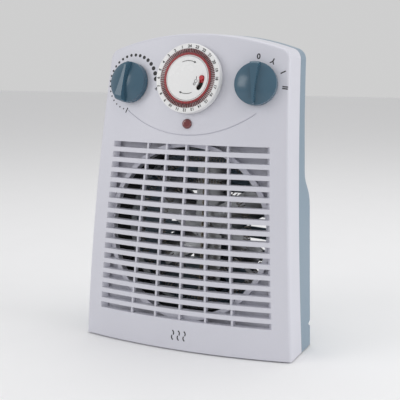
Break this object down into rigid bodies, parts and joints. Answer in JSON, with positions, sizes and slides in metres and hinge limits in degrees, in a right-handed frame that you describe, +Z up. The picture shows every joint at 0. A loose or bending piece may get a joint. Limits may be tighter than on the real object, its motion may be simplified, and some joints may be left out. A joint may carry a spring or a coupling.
{
  "type": "fan heater",
  "caption": "Upright fan heater with slotted grille, coiled wire element, thermostat and function knobs, round segment timer and pilot lamp.",
  "frame": {"origin": "middle of the footprint, on the floor", "axes": "+Z up, -Y out of the grille, +X to the right as seen from the front"},
  "size_m": [0.2336, 0.1255, 0.32],
  "materials": {
    "white_plastic": "satin",
    "blue_plastic": "satin",
    "dark_duct": "matt",
    "bright_steel": "bright",
    "black_rubber": "matt",
    "zinc_steel": "zinc plated",
    "mica": "matt",
    "resistance_wire": "oxidised",
    "fan_aluminium": "mill",
    "lamination_steel": "oiled",
    "copper_wire": "lacquered",
    "bronze": "sintered",
    "timer_plastic": "matt",
    "dial_plastic": "gloss",
    "red_plastic": "gloss",
    "knob_plastic": "satin",
    "lamp_lens": "gloss",
    "neon_glass": "clear",
    "terminal_plastic": "matt"
  },
  "bodies": {
    "casing": {"front_casing": "white_plastic", "rear_casing": "blue_plastic", "casing_screws": "bright_steel", "rubber_feet": "black_rubber", "outlet_plate": "white_plastic", "outlet_plate_screws": "bright_steel", "air_duct": "dark_duct", "element_ring": "zinc_steel", "mica_board_upright": "mica", "mica_board_level": "mica", "outer_heating_coil": "resistance_wire", "inner_heating_coil": "resistance_wire", "thermal_cutout": "zinc_steel", "thermal_fuse": "zinc_steel", "motor_stator": "lamination_steel", "motor_winding": "copper_wire", "front_motor_bracket": "zinc_steel", "rear_motor_bracket": "zinc_steel", "front_bearing": "bronze", "rear_bearing": "bronze", "motor_screws": "bright_steel", "timer_housing": "timer_plastic", "timer_screws": "bright_steel", "timer_motor": "zinc_steel", "timer_face": "dial_plastic", "thermostat_body": "mica", "thermostat_nut": "bright_steel", "function_switch_body": "timer_plastic", "function_nut": "bright_steel", "pilot_lens": "lamp_lens", "pilot_neon": "neon_glass", "pilot_clip": "bright_steel", "terminal_block": "terminal_plastic", "terminal_screws": "bronze", "cord_gland": "black_rubber"},
    "timer_dial": {"timer_dial": "dial_plastic", "timer_tappets": "red_plastic"},
    "mode_slider": {"mode_slider": "red_plastic"},
    "thermostat_knob": {"thermostat_spindle": "bright_steel", "thermostat_knob": "knob_plastic"},
    "function_knob": {"function_spindle": "bright_steel", "function_knob": "knob_plastic"},
    "fan": {"fan_impeller": "fan_aluminium", "fan_clip": "bright_steel", "motor_shaft": "bright_steel", "motor_rotor": "lamination_steel"}
  },
  "joints": [
    {"name": "timer_dial_turn", "type": "hinge", "parent": "casing", "child": "timer_dial", "pos_m": [0, -0.03205, 0.2744], "axis": [0, 0.9799, -0.1993], "continuous": true},
    {"name": "mode_slider_swing", "type": "hinge", "parent": "casing", "child": "mode_slider", "pos_m": [0, -0.03205, 0.2744], "axis": [0, 0.9799, -0.1993], "range_deg": [0, 36]},
    {"name": "thermostat_turn", "type": "hinge", "parent": "casing", "child": "thermostat_knob", "pos_m": [-0.0697, -0.02826, 0.27], "axis": [0.1303, 0.9718, -0.1966], "range_deg": [0, 270]},
    {"name": "function_turn", "type": "hinge", "parent": "casing", "child": "function_knob", "pos_m": [0.0697, -0.02826, 0.27], "axis": [-0.1303, 0.9718, -0.1966], "range_deg": [0, 96]},
    {"name": "fan_spin", "type": "hinge", "parent": "casing", "child": "fan", "pos_m": [0, -0.05532, 0.1225], "axis": [0, 0.9947, -0.1026], "continuous": true}
  ]
}
